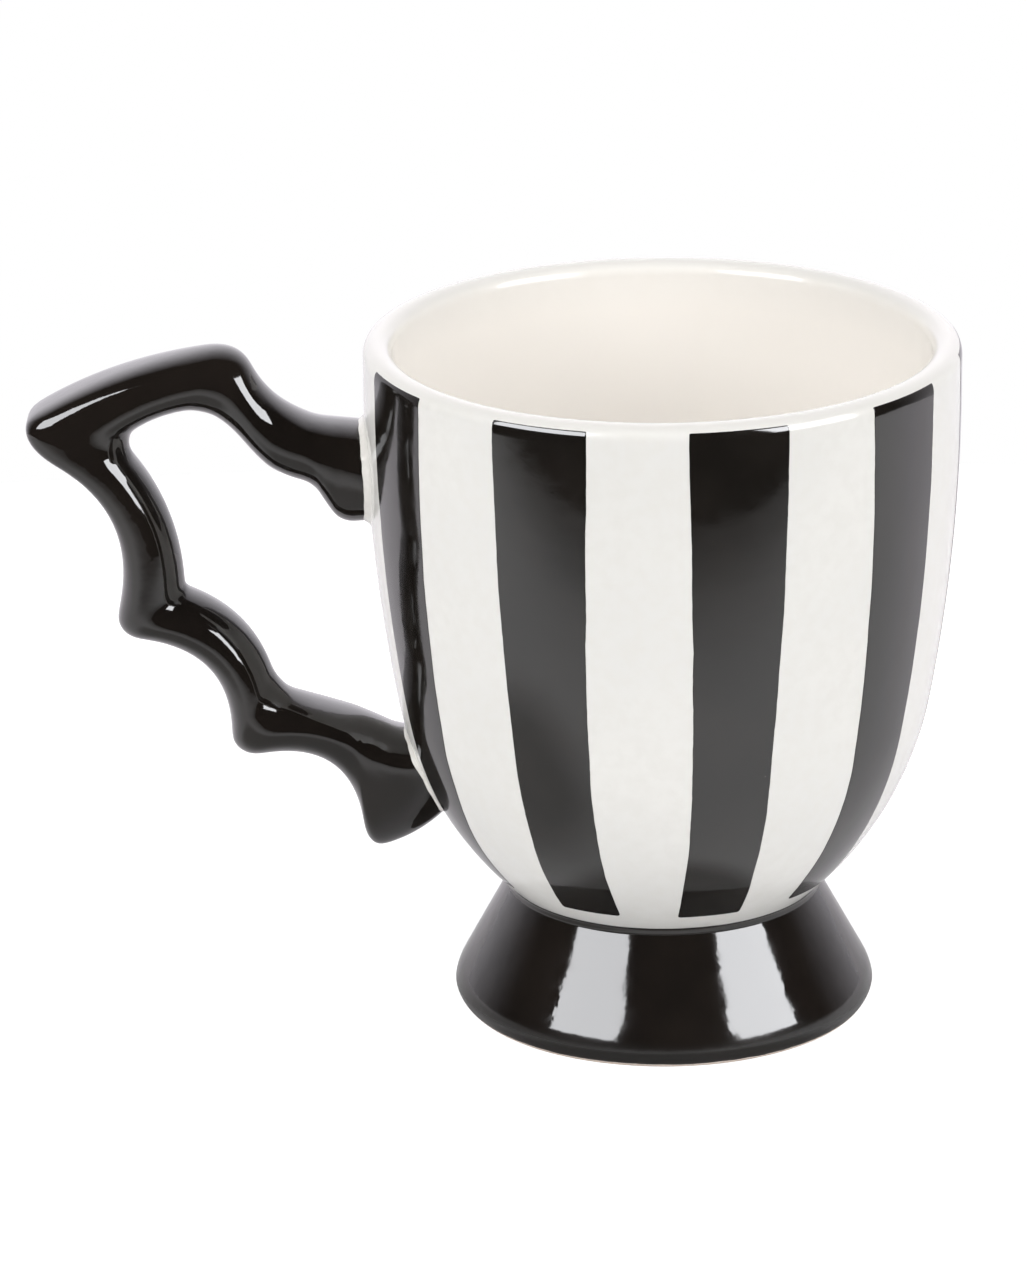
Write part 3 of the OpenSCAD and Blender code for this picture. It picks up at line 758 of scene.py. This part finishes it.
def softbox(gloss, name, azimuth, elevation, width, height, radiance, color=(1, 1, 1), spread=180):
    """An area light that faces the mug, for its gloss or for its colours. Azimuth 0 is the camera's side."""
    light = bpy.data.lights.new(name, "AREA")
    light.shape = "RECTANGLE"
    light.size, light.size_y = width, height
    light.energy = radiance * math.pi * width * height
    light.color = color
    light.spread = math.radians(spread)
    light.cycles.use_multiple_importance_sampling = gloss
    obj = bpy.data.objects.new(name, light)
    bpy.context.scene.collection.objects.link(obj)
    a, e = math.radians(azimuth), math.radians(elevation)
    away = Vector((math.sin(a) * math.cos(e), -math.cos(a) * math.cos(e), math.sin(e)))
    obj.location = LIGHT_AIM + LIGHT_AWAY * away
    obj.rotation_euler = away.to_track_quat("Z", "Y").to_euler()
    obj.visible_camera = False
    obj.visible_diffuse = not gloss
    obj.visible_glossy = gloss


def sheet_material():
    """White paper, which the camera sees as white apart from the mug's shadow. In reflections it has painted
    shade, painted shadows and painted violet light.
    """
    material = bpy.data.materials.new("white_sheet")
    material.use_nodes = True
    nodes = Nodes(material.node_tree)
    nodes.tree.nodes.clear()
    where = nodes.add("ShaderNodeTexCoord").outputs["Object"]
    front = nodes.add("ShaderNodeSeparateXYZ", {0: where}).outputs["Y"]
    # Painted shade: in reflections the sheet darkens towards its front edge.
    mirrored = nodes.mix(nodes.span(front, *FAR_Y), FAR_PAINTED_SHADE, PAPER)
    # Painted violet light: in reflections the sheet turns violet towards its back.
    mirrored = nodes.mix(nodes.span(front, *PAINTED_VIOLET_Y), mirrored, VIOLET)
    # Painted shadows in reflections, under the handle and before the foot.
    for centre, reach, dark in SHADES:
        away = nodes.add("ShaderNodeVectorMath", {0: where, 1: centre}, operation="DISTANCE").outputs["Value"]
        mirrored = nodes.mix(nodes.span(away, *reach), dark, mirrored)
    path = nodes.add("ShaderNodeLightPath").outputs
    paper = nodes.add("ShaderNodeBsdfDiffuse", {"Color": nodes.mix(path["Is Glossy Ray"], PAPER, mirrored)})
    shadow = nodes.add("ShaderNodeBsdfDiffuse", {"Color": SHADOW_PAPER})
    glow = nodes.add("ShaderNodeEmission", {"Strength": GLOW})
    seen = nodes.add("ShaderNodeAddShader", {0: glow.outputs[0], 1: shadow.outputs[0]})
    looks = {0: path["Is Camera Ray"], 1: paper.outputs[0], 2: seen.outputs[0]}
    pick = nodes.add("ShaderNodeMixShader", looks)
    nodes.add("ShaderNodeOutputMaterial", {"Surface": pick.outputs[0]})
    return material


def make_floor():
    """An oval sheet under the mug."""
    angle = np.arange(SHEET_POINTS) * TAU / SHEET_POINTS
    points = np.stack([SHEET_X * np.cos(angle), SHEET_Y * np.sin(angle), 0 * angle], 1)
    mesh_object("sheet", points, [tuple(range(SHEET_POINTS))], sheet_material(), smooth=False)


def make_world():
    """White for the camera, a soft fill for the mug, and for its gloss a dark room with a white back."""
    world = bpy.data.worlds.new("studio")
    world.use_nodes = True
    bpy.context.scene.world = world
    nodes = Nodes(world.node_tree)
    where = nodes.add("ShaderNodeTexCoord").outputs["Generated"]
    way = nodes.add("ShaderNodeSeparateXYZ", {0: where}).outputs
    behind = nodes.span(way["Y"], *BEHIND_Y)
    room = nodes.mix(behind, DARK_ROOM, WHITE_SWEEP)
    fill = nodes.mix(behind, nodes.mix(nodes.span(way["Z"], *FILL_Z), LOW_FILL, HIGH_FILL), BACK_FILL)
    path = nodes.add("ShaderNodeLightPath").outputs
    mirrored = nodes.math("MAXIMUM", path["Is Glossy Ray"], path["Is Transmission Ray"])
    seen = nodes.mix(path["Is Camera Ray"], nodes.mix(mirrored, fill, room), (1.0, 1.0, 1.0))
    nodes.put(seen, nodes.tree.nodes["Background"].inputs["Color"])


def make_camera():
    data = bpy.data.cameras.new("photo_camera")
    data.sensor_width = SENSOR
    data.lens = LENS
    data.clip_start, data.clip_end = CAMERA_CLIP
    obj = bpy.data.objects.new("photo_camera", data)
    bpy.context.scene.collection.objects.link(obj)
    pitch = Matrix.Rotation(math.radians(90 - LOOK_DOWN), 4, "X")
    roll = Matrix.Rotation(math.radians(ROLL), 4, "Z")
    obj.matrix_world = Matrix.Translation(CAMERA_AT) @ pitch @ roll
    bpy.context.scene.camera = obj


def make_studio():
    make_floor()
    make_world()
    for gloss, lights in ((False, KEYS), (True, CARDS)):
        for light in lights:
            softbox(gloss, *light)
    make_camera()
    bpy.context.scene.view_settings.view_transform = "Standard"


make_mug()
make_studio()
